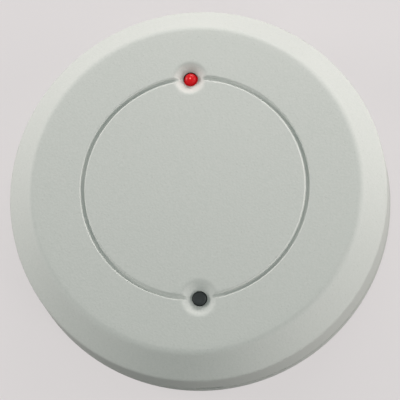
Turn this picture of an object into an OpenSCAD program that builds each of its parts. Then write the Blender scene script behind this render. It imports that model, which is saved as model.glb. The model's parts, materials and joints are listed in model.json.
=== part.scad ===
// Low round heat detector: a screw-on base with a circuit board, and a swing-off cover.
// The back lies on z = 0, +Z leaves through the face and +Y points from the centre to the lamp.

/* [Case] */
// Diameter of the base and of the cover's skirt
body_d = 88; // [84:1:96]
// Depth from the back to the middle of the domed face
body_depth = 20.7; // [20.2:0.1:22]
// Radius where the sloping shoulder meets the face
face_r = 38.5; // [37:0.5:40]
// Height of the rounded edge between face and shoulder
face_edge_z = 18.3; // [18:0.1:19]
// Height at which the straight skirt ends and the shoulder starts
skirt_top_z = 12.2; // [10:0.2:13]
// Wall thickness of the cover
cover_wall = 1.8; // [1.6:0.1:2]
// Thickness of the base plate
base_t = 2.2; // [2:0.1:2.4]
// Gap between the base plate and the rim of the cover
parting_gap = 0.2; // [0.15:0.05:0.3]

/* [Face] */
// Radius of the ring groove, which also runs through both dishes
groove_r = 26; // [25:0.5:27]
// Width of the ring groove
groove_w = 1.1; // [0.8:0.1:1.4]
// Depth of the ring groove
groove_depth = 0.6; // [0.4:0.1:0.8]
// Radius of the dish around the lamp
lamp_dish_r = 3.75; // [3.4:0.05:4]
// Radius of the clearance hole for the lamp
lamp_hole_r = 1.7; // [1.7:0.05:1.9]
// Radius of the dish around the sensing head
port_dish_r = 4; // [3.6:0.1:4.4]
// Radius of the hole for the sensing head
port_hole_r = 1.75; // [1.75:0.05:2]

/* [Wall mounting] */
// Distance between the two wall screws
wall_screw_spacing = 60.3; // [58:0.1:62]
// Radius of each wall-screw hole
wall_hole_r = 2.2; // [1.8:0.1:2.5]
// Radius of the central cable entry
cable_entry_r = 6; // [4:0.5:6.5]

/* [Cover release] */
// Width of the screwdriver notch in the rim of the cover
notch_w = 6; // [5:0.5:8]
// Height of the screwdriver notch
notch_h = 1.1; // [0.8:0.1:1.6]
// How far the catch on the cover reaches inwards
catch_reach = 1.1; // [1:0.05:1.2]

/* [Circuit board] */
// Radius of the circuit board
board_r = 37.2; // [36.5:0.1:37.6]
// Thickness of the circuit board
board_t = 1.6; // [1.4:0.1:1.6]
// Height of the underside of the board above the wall
board_z = 6; // [5.8:0.1:6.2]

/* [Terminals] */
// Number of wire terminals
terminal_count = 6; // [4:1:6]
// Distance between neighbouring terminals
terminal_pitch = 3.81; // [3.5:0.01:3.96]

/* [Tamper spring] */
// Number of free turns in the tamper spring
spring_turns = 4; // [3:1:5]
// Wire thickness of the tamper spring
spring_wire = 0.4; // [0.3:0.05:0.45]

/* [Hidden] */
$fn = 96;
through = 60;

// Case
body_r = body_d / 2;
rim_z = base_t + parting_gap;
inner_r = body_r - cover_wall;
dome_rise = body_depth - face_edge_z;
dome_r = (face_r * face_r + dome_rise * dome_rise) / (2 * dome_rise);
dome_z = body_depth - dome_r;
face_round = 2;
skirt_round = 1.2;
rim_chamfer = 0.3;
dome_steps = 8;
dome_end_r = face_r - 2.5;

// Base
spigot_clear = 0.5;
spigot_r = inner_r - spigot_clear;
spigot_wall = 1.4;
spigot_top_z = 4.6;
wall_boss_r = 4.8;
wall_boss_z = 3.4;
entry_ring_wall = 2;
entry_ring_z = 3.6;
board_screw_at = [[24.5, 22.5], [-24.5, 22.5], [0, -34]];
board_boss_r = 3;
pilot_r = 0.95;
pilot_floor_z = 1.2;
rib_t = 1.2;
rib_z = 3.2;
relief_depth = 0.4;
label_w = 30;
label_h = 14;
label_y = -18.5;
label_t = 0.12;
label_pocket = 0.2;

// Hook at the hinge side, and the latch opposite
hinge_y = body_r - 0.5;
hinge_z = rim_z + 0.5;
hinge_bar_r = 1;
hinge_clear = 0.05;
hook_w = 8;
hook_bottom_z = hinge_z + 0.3;
hook_top_z = hinge_z + 2.9;
hook_tip_y = body_r - 0.95;
pocket_w = 9;
pocket_top_z = hinge_z + 3.7;
pocket_skin = 0.8;
latch_y = -40.4;
latch_w = 5.6;
latch_t = 1.1;
latch_root_r = 0.6;
latch_root_clear = 0.05;
barb_z = 7;
barb_top_z = 8.3;
barb_reach = 1;
catch_z = 5.6;
catch_top_z = 6.8;
catch_w = 9;

// Board
board_top_z = board_z + board_t;
board_hole_r = 7;
notch_r = 5.6;
board_screw_hole_r = 1.5;
lead_r = 0.25;
joint_r = 0.8;
joint_h = 0.7;

// Dishes: their floors lie on the hole's edge
dish_round = 0.35;
dish_curve = 0.3;
lamp_flare = 0.45;
lamp_floor = 1.35;
port_floor = 1.25;
port_boss_r = 4.9;
port_boss_z = 16.6;
port_flare = 0.35;

// Lamp, 3 mm across, and the sensing head
lamp_r = 1.5;
lamp_flange_r = 1.9;
lamp_base_z = 14;
lamp_flange_h = 0.9;
lamp_lead_x = 1.27;
lamp_spacer_r = 2.3;
head_r = 1.6;
head_z = 15.4;
head_top_z = 19;
head_round = 0.5;
head_lead_x = 0.7;
sleeve_r = 2;
sleeve_wall = 0.5;
sleeve_top_z = 14.8;
bead_at = [6, -30.5];
bead_r = 1.2;
bead_z = 11;
bead_lead_x = 0.55;

// Terminal block
terminal_at = [0, 13.8];
terminal_w = (terminal_count + 0.2) * terminal_pitch;
terminal_d = 7.2;
terminal_h = 8.6;
terminal_screw_r = 1.25;
terminal_wall = 0.5;
clamp_w = 2.5;
clamp_h = 3;
wire_way_h = 3.4;
wire_way_z = 0.8;

// Chip, relay, rectifier
chip_at = [13.2, -13.5];
chip_size = [8.7, 3.9, 1.5];
chip_lift = 0.1;
chip_pins = 7;
chip_pitch = 1.27;
relay_at = [-18.5, -12.5];
relay_size = [12.4, 7.4, 9];
relay_lift = 0.4;
relay_pin_x = 5.08;
relay_pin_y = 2.54;
rectifier_at = [-12, 23];
rectifier_size = [8.4, 6.4, 3.2];

// Round parts on legs
can_at = [[-11.5, -25.5], [-20.5, -25]];
can_r = [3.15, 3.15];
can_h = [8.2, 6];
can_lift = 0.3;
can_lead_x = 1.25;
sleeve_t = 0.15;
varistor_at = [-24.5, 11.5];
varistor_r = 3.8;
varistor_t = 3;
varistor_lift = 1.4;
varistor_lead_x = 1.9;
film_at = [11.5, 24];
film_size = [7.2, 2.6, 6];
film_lift = 0.4;
film_lead_x = 3.2;
ceramic_at = [[-7.4, 30.2], [19.5, -19.5], [6.5, -21.5]];
ceramic_r = 2.2;
ceramic_t = 1.6;
ceramic_lift = 1.6;
ceramic_lead_x = 1.25;
transistor_at = [[-6.5, -20], [-24.5, -18.5], [20.8, 1.2]];
transistor_r = 2.3;
transistor_h = 4.6;
transistor_flat = 1.3;
transistor_lift = 2.2;
transistor_lead_x = 1.27;

// Axial parts, all lying along X
resistor_at = [[20.5, 8], [20.5, 11.4], [20.5, 14.8], [-6.8, -10.6], [-6.8, -14], [21, 18.2]];
resistor_r = 1.15;
resistor_len = 6.3;
axial_span = 9.6;
diode_at = [[-15.8, 29.2], [-22.8, 17.6]];
diode_r = 1.3;
diode_len = 4.6;

// Switches and jumper
dip_at = [18.5, -26.6];
dip_size = [6.6, 6, 3.6];
dip_pin_x = 1.27;
dip_pin_y = 3.2;
slider_x = 1.5;
slider_w = 1.2;
slider_len = 1.4;
slider_travel = 1;
slider_slot_len = slider_len + slider_travel + 0.3;
slider_slot_w = slider_w + 0.2;
slider_slot_depth = 1.5;
slider_proud = 0.5;
slider_gap = 0.1;
jumper_at = [10.5, -28.5];
jumper_pitch = 2.54;
jumper_pin_w = 0.64;
jumper_pin_top = 7.6;
jumper_base_h = 2.5;
shunt_size = [2.4, 5, 5.2];
tamper_at = [25.5, -12.5];
tamper_size = 6;
tamper_pin_x = 2.25;
tamper_pin_y = 3.2;
tamper_h = 3.4;
tamper_stem_r = 0.9;
tamper_cap_r = 2.3;
tamper_cap_t = 0.8;
tamper_travel = 1.2;
tamper_top_z = 15;
tamper_contact_gap = 0.05;
tamper_bore_clear = 0.05;
tamper_well_spare = 0.2;
tamper_well = 2 * tamper_travel + tamper_well_spare;
spring_r = 1.6;
spring_sides = 8;
spring_steps = 16;

// Every lead that passes through the board, as places on the board
function pair(at, half) = [for (s = [-1, 1]) [at[0] + s * half, at[1]]];
function four(at, x, y) = concat(pair([at[0], at[1] - y], x), pair([at[0], at[1] + y], x));
function flat(lists) = [for (l = lists) for (p = l) p];
axial_holes = flat([for (p = concat(resistor_at, diode_at)) pair(p, axial_span / 2)]);
terminal_holes = [for (i = [0 : terminal_count - 1]) [terminal_x(i), terminal_at[1]]];
can_holes = flat([for (p = can_at) pair(p, can_lead_x)]);
ceramic_holes = flat([for (p = ceramic_at) pair(p, ceramic_lead_x)]);
leg_holes = concat(ceramic_holes, pair(varistor_at, varistor_lead_x));
lamp_holes = concat(pair([0, groove_r], lamp_lead_x), pair([0, -groove_r], head_lead_x));
relay_holes = four(relay_at, relay_pin_x, relay_pin_y);
switch_holes = concat(four(dip_at, dip_pin_x, dip_pin_y), four(tamper_at, tamper_pin_x, tamper_pin_y));
jumper_holes = [for (i = [-0.5, 0.5]) [jumper_at[0], jumper_at[1] + i * jumper_pitch]];
transistor_holes = flat([for (p = transistor_at) pair(p, transistor_lead_x)]);
other_holes = concat(pair(bead_at, bead_lead_x), pair(film_at, film_lead_x), transistor_holes,
    relay_holes, switch_holes, jumper_holes);
solder_at = concat(axial_holes, terminal_holes, can_holes, leg_holes, lamp_holes, other_holes);

function terminal_x(i) = terminal_at[0] + (i - (terminal_count - 1) / 2) * terminal_pitch;
function face_z(r) = dome_z + sqrt(dome_r * dome_r - r * r);
function unit(v) = v / norm(v);
// The arc that rounds the corner b between a and c
function rounded(a, b, c, r, steps = 5) =
    let (u = unit(a - b), w = unit(c - b), half = acos(u * w) / 2,
        centre = b + unit(u + w) * r / sin(half),
        from = b + u * r / tan(half) - centre, to = b + w * r / tan(half) - centre,
        start = atan2(from[1], from[0]), raw = atan2(to[1], to[0]) - start,
        sweep = raw > 180 ? raw - 360 : raw < -180 ? raw + 360 : raw)
    [for (i = [0 : steps])
        let (turn = start + sweep * i / steps) centre + r * [cos(turn), sin(turn)]];

// Outer half-outline of the cover, set in by a wall thickness and closed at a lower edge
function shoulder_shift(inset) =
    let (slope = unit([face_r - body_r, face_edge_z - skirt_top_z])) inset * [-slope[1], slope[0]];
function shoulder_at(inset, r) =
    let (p = [body_r, skirt_top_z] + shoulder_shift(inset), run = (r - p[0]) / (face_r - body_r))
    [r, p[1] + run * (face_edge_z - skirt_top_z)];
function shoulder_top(inset) =
    let (r = face_r - inset * 0.5) [r, min(face_z(r) - inset, shoulder_at(inset, r)[1])];
function cover_outline(inset, low) =
    let (skirt = shoulder_at(inset, body_r - inset), top = shoulder_top(inset),
        dome = [for (i = [0 : dome_steps])
            let (r = dome_end_r * i / dome_steps) [r, face_z(r) - inset]])
    concat([[0, low]], dome,
        rounded(dome[dome_steps], top, skirt, max(face_round - inset, 0.3)),
        rounded(top, skirt, [skirt[0], low + rim_chamfer], max(skirt_round - inset, 0.3)),
        [[body_r - inset, low + rim_chamfer], [body_r - inset - rim_chamfer, low]]);

// A bowl about the Z axis, nearly a cone, whose wall steepens a little towards its rim
module dish(rim_r, hole_r, rim_z, floor) {
    wall = [for (a = [0 : 15 : 90])
        let (run = a / 90, depth = dish_curve * cos(a) + (1 - dish_curve) * (1 - run))
            [hole_r + (rim_r - hole_r) * run, rim_z - floor * depth]];
    flare = [[rim_r + dish_round, rim_z + dish_round], [rim_r + dish_round, rim_z + 3]];
    rotate_extrude()
        polygon(concat([[0, rim_z + 3], [0, rim_z - floor]], wall, flare));
}

module front_cover() {
    color([0.74, 0.755, 0.735])
    difference() {
        union() {
            difference() {
                rotate_extrude() polygon(cover_outline(0, rim_z));
                rotate_extrude() polygon(cover_outline(cover_wall, rim_z - 1));
            }
            translate([0, -groove_r, port_boss_z])
                cylinder(r = port_boss_r, h = face_z(groove_r) - port_boss_z - 1);
            tamper_post();
            cover_catch();
            for (a = [30, 150, 210, 330]) rotate(a) shoulder_rib();
        }
        ring_groove();
        translate([0, groove_r, 0])
            dish(lamp_dish_r, lamp_hole_r, face_z(groove_r), lamp_floor);
        translate([0, groove_r, 0])
            flared_hole(lamp_hole_r, lamp_flare, face_z(groove_r) - cover_wall, lamp_floor);
        translate([0, -groove_r, 0])
            dish(port_dish_r, port_hole_r, face_z(groove_r), port_floor);
        translate([0, -groove_r, 0])
            flared_hole(port_hole_r, port_flare, port_boss_z, port_floor);
        translate([-notch_w / 2, -body_r - 1, rim_z - 1])
            cube([notch_w, cover_wall + 3, notch_h + 1]);
        hinge_pocket();
    }
}

// Widens downwards, so that the swinging cover clears what stands in the hole
module flared_hole(r, flare, low_z, floor) {
    top_z = face_z(groove_r) - floor;
    cylinder(r = r, h = through);
    translate([0, 0, low_z]) cylinder(r1 = r + flare, r2 = r, h = top_z - low_z);
    cylinder(r = r + flare, h = low_z);
}

// Room for the base's hook, which leaves a round bar along the hinge axis
module hinge_pocket() {
    floor_z = rim_z - 1;
    difference() {
        translate([-pocket_w / 2, inner_r - 1, floor_z])
            cube([pocket_w, body_r - pocket_skin - inner_r + 1, pocket_top_z - floor_z]);
        hinge_cylinder(hinge_bar_r, pocket_w + 2);
    }
}

module hinge_cylinder(r, len) {
    translate([-len / 2, hinge_y, hinge_z]) rotate([0, 90, 0]) cylinder(r = r, h = len);
}

module ring_groove() {
    top = face_z(groove_r);
    rotate_extrude()
        polygon([[groove_r - groove_w * 0.3, top - groove_depth],
            [groove_r + groove_w * 0.3, top - groove_depth],
            [groove_r + groove_w * 0.5, top + 1],
            [groove_r - groove_w * 0.5, top + 1]]);
}

module tamper_post() {
    post_r = 2;
    foot_z = tamper_top_z + tamper_contact_gap;
    translate([tamper_at[0], tamper_at[1], foot_z])
        cylinder(r = post_r, h = face_z(norm(tamper_at)) - foot_z - 1);
}

// The inward ledge that the latch holds down
module cover_catch() {
    intersection() {
        difference() {
            translate([0, 0, catch_z]) cylinder(r = inner_r + 0.5, h = catch_top_z - catch_z);
            cylinder(r = inner_r - catch_reach, h = through);
        }
        translate([-catch_w / 2, -body_r, 0]) cube([catch_w, body_r, body_depth]);
    }
}

module shoulder_rib() {
    top = shoulder_top(cover_wall);
    foot = shoulder_at(cover_wall, inner_r);
    rotate([90, 0, 0])
        linear_extrude(height = 1, center = true)
            polygon([[inner_r + 0.5, foot[1] - 2.5], [inner_r + 0.5, foot[1] + 0.5],
                [top[0], top[1] + 0.5], [top[0] - 2.5, top[1] + 0.5], [top[0] - 2.5, top[1] - 1],
                [inner_r - 1, foot[1] - 2.5]]);
}

module mounting_base() {
    color([0.73, 0.745, 0.725])
    difference() {
        union() {
            cylinder(r = body_r, h = base_t);
            spigot();
            for (s = [-1, 1]) translate([s * wall_screw_spacing / 2, 0, 0])
                cylinder(r = wall_boss_r, h = wall_boss_z);
            cylinder(r = cable_entry_r + entry_ring_wall, h = entry_ring_z);
            for (p = board_screw_at) translate([p[0], p[1], 0])
                cylinder(r = board_boss_r, h = board_z);
            base_ribs();
            cover_hook();
        }
        for (s = [-1, 1]) translate([s * wall_screw_spacing / 2, 0, -1])
            cylinder(r = wall_hole_r, h = through);
        translate([0, 0, -1]) cylinder(r = cable_entry_r, h = through);
        for (p = board_screw_at) translate([p[0], p[1], pilot_floor_z])
            cylinder(r = pilot_r, h = through);
        latch_seat();
        back_relief();
        translate([-label_w / 2, label_y - label_h / 2, -1])
            cube([label_w, label_h, 1 + label_pocket]);
    }
}

module spigot() {
    difference() {
        cylinder(r = spigot_r, h = spigot_top_z);
        cylinder(r = spigot_r - spigot_wall, h = through);
        translate([-latch_w / 2 - 1, -body_r, base_t])
            cube([latch_w + 2, body_r, spigot_top_z]);
        for (a = [45, 135, 225, 315]) rotate(a)
            translate([0, -2, base_t]) cube([body_r, 4, spigot_top_z]);
    }
}

module base_ribs() {
    reach = spigot_r - spigot_wall - cable_entry_r - entry_ring_wall + 0.6;
    for (a = [60 : 60 : 300]) if (a != 180) rotate(a)
        translate([cable_entry_r + entry_ring_wall - 0.3, -rib_t / 2, 0])
            cube([reach, rib_t, rib_z]);
}

module cover_hook() {
    root_y = spigot_r - spigot_wall;
    translate([-hook_w / 2, root_y, 0]) cube([hook_w, spigot_wall - 0.2, hook_top_z]);
    difference() {
        translate([-hook_w / 2, root_y, hook_bottom_z])
            cube([hook_w, hook_tip_y - root_y, hook_top_z - hook_bottom_z]);
        hinge_cylinder(hinge_bar_r + hinge_clear, hook_w + 2);
    }
}

module latch_seat() {
    seat_w = latch_w + 0.4;
    translate([-seat_w / 2, latch_y, base_t]) rotate([0, 90, 0])
        cylinder(r = latch_root_r + latch_root_clear, h = seat_w);
}

module back_relief() {
    for (band = [[14, 25], [36, 41]]) difference() {
        translate([0, 0, -1]) cylinder(r = band[1], h = 1 + relief_depth);
        translate([0, 0, -2]) cylinder(r = band[0], h = 3 + relief_depth);
        translate([-label_w / 2 - 1.5, label_y - label_h / 2 - 1.5, -2])
            cube([label_w + 3, label_h + 3, 5]);
    }
}

module rear_label() {
    color([0.9, 0.9, 0.87])
    translate([-label_w / 2 + 0.3, label_y - label_h / 2 + 0.3, label_pocket - label_t])
        cube([label_w - 0.6, label_h - 0.6, label_t]);
}

// A finger on a thin root that a screwdriver tip pushes inwards to let the cover go
module release_latch() {
    color([0.7, 0.715, 0.695])
    translate([-latch_w / 2, 0, 0])
        rotate([90, 0, 90])
            linear_extrude(height = latch_w)
                union() {
                    translate([latch_y, base_t]) circle(r = latch_root_r);
                    polygon([[latch_y - latch_t / 2, base_t], [latch_y + latch_t / 2, base_t],
                        [latch_y + latch_t / 2, barb_top_z], [latch_y - latch_t / 2, barb_top_z],
                        [latch_y - latch_t / 2 - barb_reach, barb_z + 0.3],
                        [latch_y - latch_t / 2 - barb_reach, barb_z],
                        [latch_y - latch_t / 2, barb_z]]);
                }
}

module circuit_board() {
    color([0.1, 0.36, 0.2])
    translate([0, 0, board_z])
        linear_extrude(height = board_t)
            difference() {
                circle(r = board_r);
                circle(r = board_hole_r);
                for (s = [-1, 1]) translate([s * wall_screw_spacing / 2, 0]) {
                    circle(r = notch_r);
                    translate([s > 0 ? 0 : -20, -notch_r]) square([20, 2 * notch_r]);
                }
                for (p = board_screw_at) translate(p) circle(r = board_screw_hole_r);
            }
}

module board_screws() {
    shank_r = 0.9;
    head_r = 2.6;
    head_h = 1.5;
    color([0.7, 0.7, 0.68])
    for (p = board_screw_at) translate([p[0], p[1], 0])
        difference() {
            union() {
                translate([0, 0, pilot_floor_z + 0.6])
                    cylinder(r = shank_r, h = board_top_z - pilot_floor_z);
                translate([0, 0, board_top_z]) cylinder(r = head_r, h = head_h * 0.6);
                translate([0, 0, board_top_z + head_h * 0.6])
                    cylinder(r1 = head_r, r2 = head_r * 0.7, h = head_h * 0.4);
            }
            cross_recess(board_top_z + head_h * 0.35, 2.8);
        }
}

module cross_recess(floor_z, len) {
    w = 0.6;
    for (a = [0, 90]) rotate(a) translate([-len / 2, -w / 2, floor_z]) cube([len, w, 5]);
}

module solder_joints() {
    color([0.75, 0.75, 0.77])
    for (p = solder_at) translate([p[0], p[1], board_z - joint_h])
        cylinder(r1 = joint_r * 0.35, r2 = joint_r, h = joint_h);
}

module terminal_housing() {
    color([0.2, 0.42, 0.28])
    translate([terminal_at[0] - terminal_w / 2, terminal_at[1] - terminal_d / 2, board_top_z])
        difference() {
            cube([terminal_w, terminal_d, terminal_h]);
            translate([-1, -1, terminal_h - 1.6]) rotate([-25, 0, 0])
                translate([0, -6, 0]) cube([terminal_w + 2, 6, 8]);
            for (i = [0 : terminal_count - 1])
                translate([terminal_x(i) - terminal_at[0] + terminal_w / 2, 0, 0])
                    terminal_cell();
        }
}

// The wire way and the screw well of one terminal
module terminal_cell() {
    translate([-clamp_w / 2 - 0.1, -1, wire_way_z])
        cube([clamp_w + 0.2, terminal_d - terminal_wall + 1, wire_way_h]);
    translate([0, terminal_d / 2, wire_way_z + 1])
        cylinder(r = terminal_screw_r + 0.15, h = terminal_h);
}

module terminal_screws() {
    head_z = board_top_z + terminal_h - 2.1;
    foot_z = board_top_z + wire_way_z + wire_way_h - 0.7;
    color([0.78, 0.78, 0.76])
    for (i = [0 : terminal_count - 1]) translate([terminal_x(i), terminal_at[1], 0])
        difference() {
            union() {
                translate([0, 0, foot_z]) cylinder(r = 0.75, h = head_z - foot_z);
                translate([0, 0, head_z]) cylinder(r = terminal_screw_r, h = 1.3);
            }
            translate([-2, -0.2, head_z + 0.6]) cube([4, 0.4, 3]);
        }
}

module terminal_clamps() {
    t = 0.5;
    color([0.8, 0.72, 0.42])
    for (i = [0 : terminal_count - 1])
        translate([terminal_x(i) - clamp_w / 2, terminal_at[1] - clamp_w / 2, board_top_z + wire_way_z])
            difference() {
                cube([clamp_w, clamp_w, clamp_h]);
                translate([t, -1, t]) cube([clamp_w - 2 * t, clamp_w + 2, clamp_h - 2 * t]);
                translate([clamp_w / 2, clamp_w / 2, t + 0.1]) cylinder(r = 0.78, h = through);
            }
}

module status_lamp() {
    color([0.85, 0.08, 0.1])
    translate([0, groove_r, 0])
        union() {
            translate([0, 0, lamp_base_z]) cylinder(r = lamp_flange_r, h = lamp_flange_h);
            translate([0, 0, lamp_base_z])
                cylinder(r = lamp_r, h = lamp_sphere_z() - lamp_base_z);
            translate([0, 0, lamp_sphere_z()]) sphere(r = lamp_r);
        }
}

// The middle of the lamp's dome lies level with the lower edge of its hole
function lamp_sphere_z() = face_z(groove_r) - cover_wall;

module upright_leads(at, half, top_z) {
    for (p = pair(at, half)) translate([p[0], p[1], board_top_z])
        cylinder(r = lead_r, h = top_z - board_top_z);
}

module lamp_leads() {
    color([0.78, 0.78, 0.8])
        upright_leads([0, groove_r], lamp_lead_x, lamp_base_z);
}

module lamp_spacer() {
    color([0.9, 0.9, 0.88])
    translate([0, groove_r, board_top_z])
        difference() {
            cylinder(r = lamp_spacer_r, h = lamp_base_z - board_top_z);
            for (s = [-1, 1]) translate([s * lamp_lead_x, 0, -1])
                cylinder(r = lead_r + 0.1, h = through);
        }
}

module sensing_head() {
    color([0.2, 0.2, 0.2])
    translate([0, -groove_r, 0])
        rotate_extrude()
            polygon(concat([[0, head_z], [head_r, head_z]],
                rounded([head_r, head_z], [head_r, head_top_z], [0, head_top_z], head_round),
                [[0, head_top_z]]));
}

module sensing_leads() {
    color([0.78, 0.78, 0.8])
        upright_leads([0, -groove_r], head_lead_x, head_z);
}

module sensing_sleeve() {
    color([0.12, 0.12, 0.12])
    translate([0, -groove_r, board_top_z])
        difference() {
            cylinder(r = sleeve_r, h = sleeve_top_z - board_top_z);
            translate([0, 0, -1]) cylinder(r = sleeve_r - sleeve_wall, h = through);
        }
}

module reference_bead() {
    color([0.15, 0.3, 0.55])
    translate([bead_at[0], bead_at[1], bead_z]) sphere(r = bead_r);
}

module reference_leads() {
    color([0.78, 0.78, 0.8])
    difference() {
        upright_leads(bead_at, bead_lead_x, bead_z);
        translate([bead_at[0], bead_at[1], bead_z]) sphere(r = bead_r);
    }
}

module controller_chip() {
    color([0.13, 0.13, 0.14])
    translate([chip_at[0], chip_at[1], board_top_z + chip_lift])
        difference() {
            translate([-chip_size[0] / 2, -chip_size[1] / 2, 0]) cube(chip_size);
            translate([-chip_size[0] / 2 + 0.9, -chip_size[1] / 2 + 0.9, chip_size[2] - 0.1])
                cylinder(r = 0.4, h = 1);
        }
}

module controller_pins() {
    w = 0.4;
    t = 0.2;
    run = 1.05;
    mid = 0.8;
    color([0.8, 0.8, 0.82])
    for (side = [0, 180]) for (i = [0 : chip_pins - 1])
        translate([chip_at[0], chip_at[1], board_top_z]) rotate(side)
            translate([(i - (chip_pins - 1) / 2) * chip_pitch - w / 2, chip_size[1] / 2, 0])
                rotate([90, 0, 90])
                    linear_extrude(height = w)
                        polygon([[0, mid], [0, mid - t], [0.3, mid - t], [0.3, 0], [run, 0],
                            [run, t], [0.5, t], [0.5, mid]]);
}

module alarm_relay() {
    color([0.93, 0.55, 0.14])
    translate([relay_at[0], relay_at[1], board_top_z + relay_lift])
        difference() {
            translate([-relay_size[0] / 2, -relay_size[1] / 2, 0]) cube(relay_size);
            translate([-relay_size[0] / 2 - 1, -relay_size[1] / 2 - 1, relay_size[2] - 0.4])
                cube([1.5, relay_size[1] + 2, 1]);
        }
}

module relay_pins() {
    color([0.78, 0.78, 0.8])
    for (x = [-relay_pin_x, relay_pin_x]) for (y = [-relay_pin_y, relay_pin_y])
        translate([relay_at[0] + x - 0.3, relay_at[1] + y - 0.2, board_top_z])
            cube([0.6, 0.4, relay_lift]);
}

module bridge_rectifier() {
    color([0.14, 0.14, 0.15])
    translate([rectifier_at[0], rectifier_at[1], board_top_z + 0.1])
        translate([-rectifier_size[0] / 2, -rectifier_size[1] / 2, 0]) cube(rectifier_size);
}

module rectifier_legs() {
    w = 1;
    t = 0.25;
    mid = 1.5;
    run = 1.4;
    color([0.8, 0.8, 0.82])
    for (side = [0, 180]) for (x = [-2.54, 2.54])
        translate([rectifier_at[0], rectifier_at[1], board_top_z]) rotate(side)
            translate([x - w / 2, rectifier_size[1] / 2, 0])
                rotate([90, 0, 90])
                    linear_extrude(height = w)
                        polygon([[0, mid], [0, mid - t], [0.4, mid - t], [0.4, 0], [run, 0],
                            [run, t], [0.65, t], [0.65, mid]]);
}

module capacitor_cans() {
    color([0.8, 0.81, 0.83])
    for (i = [0 : len(can_at) - 1]) translate([can_at[i][0], can_at[i][1], board_top_z + can_lift])
        difference() {
            cylinder(r = can_r[i], h = can_h[i]);
            cross_recess(can_h[i] - 0.15, can_r[i] * 1.3);
        }
    color([0.78, 0.78, 0.8])
    for (p = can_at) upright_leads(p, can_lead_x, board_top_z + can_lift);
}

module capacitor_sleeves() {
    lip = 0.5;
    color([0.1, 0.14, 0.3])
    for (i = [0 : len(can_at) - 1]) translate([can_at[i][0], can_at[i][1], board_top_z + can_lift])
        difference() {
            cylinder(r = can_r[i] + sleeve_t, h = can_h[i] + sleeve_t);
            translate([0, 0, -1]) cylinder(r = can_r[i], h = can_h[i] + 1);
            cylinder(r = can_r[i] - lip, h = through);
        }
}

// A flat round body on two legs, standing across the Y axis
module disc_body(at, r, t, lift) {
    translate([at[0], at[1] + t / 2, board_top_z + lift + r]) rotate([90, 0, 0])
        rotate_extrude()
            polygon([[0, 0], [r - t * 0.25, 0], [r, t * 0.25], [r, t * 0.75],
                [r - t * 0.25, t], [0, t]]);
}

module disc_legs(at, half, r, lift) {
    difference() {
        upright_leads(at, half, board_top_z + lift + r);
        translate([at[0], at[1] + 5, board_top_z + lift + r]) rotate([90, 0, 0])
            cylinder(r = r, h = 10);
    }
}

module surge_varistor() {
    color([0.16, 0.32, 0.62])
        disc_body(varistor_at, varistor_r, varistor_t, varistor_lift);
}

module varistor_legs() {
    color([0.78, 0.78, 0.8])
        disc_legs(varistor_at, varistor_lead_x, varistor_r, varistor_lift);
}

module ceramic_capacitors() {
    color([0.82, 0.6, 0.28])
    for (p = ceramic_at) disc_body(p, ceramic_r, ceramic_t, ceramic_lift);
}

module ceramic_legs() {
    color([0.78, 0.78, 0.8])
    for (p = ceramic_at) disc_legs(p, ceramic_lead_x, ceramic_r, ceramic_lift);
}

// A small round body lying along X, with ends a little fatter than its middle
module axial_body(at, r, len, waist) {
    end = len * 0.22;
    translate([at[0] - len / 2, at[1], board_top_z + resistor_r + 0.1]) rotate([0, 90, 0])
        rotate_extrude()
            polygon([[0, 0], [r * 0.8, 0], [r, r * 0.25], [r, end], [waist, end + 0.3],
                [waist, len - end - 0.3], [r, len - end], [r, len - r * 0.25],
                [r * 0.8, len], [0, len]]);
}

// Bent wire from each end of the body down to the board
module axial_wires(at, len) {
    z = board_top_z + resistor_r + 0.1;
    for (s = [-1, 1]) {
        translate([at[0] + s * axial_span / 2, at[1], board_top_z])
            cylinder(r = lead_r, h = z - board_top_z);
        translate([at[0] + s * axial_span / 2, at[1], z]) sphere(r = lead_r);
        translate([at[0] + (s > 0 ? len / 2 : -axial_span / 2), at[1], z])
            rotate([0, 90, 0]) cylinder(r = lead_r, h = (axial_span - len) / 2);
    }
}

module resistor_bodies() {
    color([0.8, 0.69, 0.5])
    for (p = resistor_at) axial_body(p, resistor_r, resistor_len, resistor_r * 0.85);
}

module resistor_leads() {
    color([0.78, 0.78, 0.8])
    for (p = resistor_at) axial_wires(p, resistor_len);
}

module diode_bodies() {
    color([0.1, 0.1, 0.11])
    for (p = diode_at) axial_body(p, diode_r * 0.9, diode_len, diode_r * 0.9 - 0.01);
}

module diode_leads() {
    color([0.78, 0.78, 0.8])
    for (p = diode_at) axial_wires(p, diode_len);
}

module transistors() {
    color([0.12, 0.12, 0.13])
    for (p = transistor_at) translate([p[0], p[1], board_top_z + transistor_lift])
        difference() {
            cylinder(r = transistor_r, h = transistor_h);
            translate([-5, transistor_flat, -1]) cube([10, 5, transistor_h + 2]);
        }
}

module transistor_legs() {
    color([0.78, 0.78, 0.8])
    for (p = transistor_at) for (x = [-transistor_lead_x, 0, transistor_lead_x])
        translate([p[0] + x - 0.2, p[1] - 0.2, board_top_z]) cube([0.4, 0.4, transistor_lift]);
}

module film_capacitor() {
    color([0.72, 0.16, 0.14])
    translate([film_at[0], film_at[1], board_top_z])
        union() {
            translate([-film_size[0] / 2, -film_size[1] / 2, film_lift]) cube(film_size);
            for (sx = [-1, 1]) translate([sx * (film_size[0] / 2 - 0.4) - 0.4, -0.6, 0])
                cube([0.8, 1.2, film_lift + 0.1]);
        }
}

module switch_housing() {
    color([0.75, 0.12, 0.12])
    translate([dip_at[0], dip_at[1], board_top_z])
        difference() {
            translate([-dip_size[0] / 2, -dip_size[1] / 2, 0]) cube(dip_size);
            for (s = [-1, 1])
                translate([s * slider_x - slider_slot_w / 2, -slider_slot_len / 2,
                        dip_size[2] - slider_slot_depth])
                    cube([slider_slot_w, slider_slot_len, slider_slot_depth + 1]);
        }
}

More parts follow.
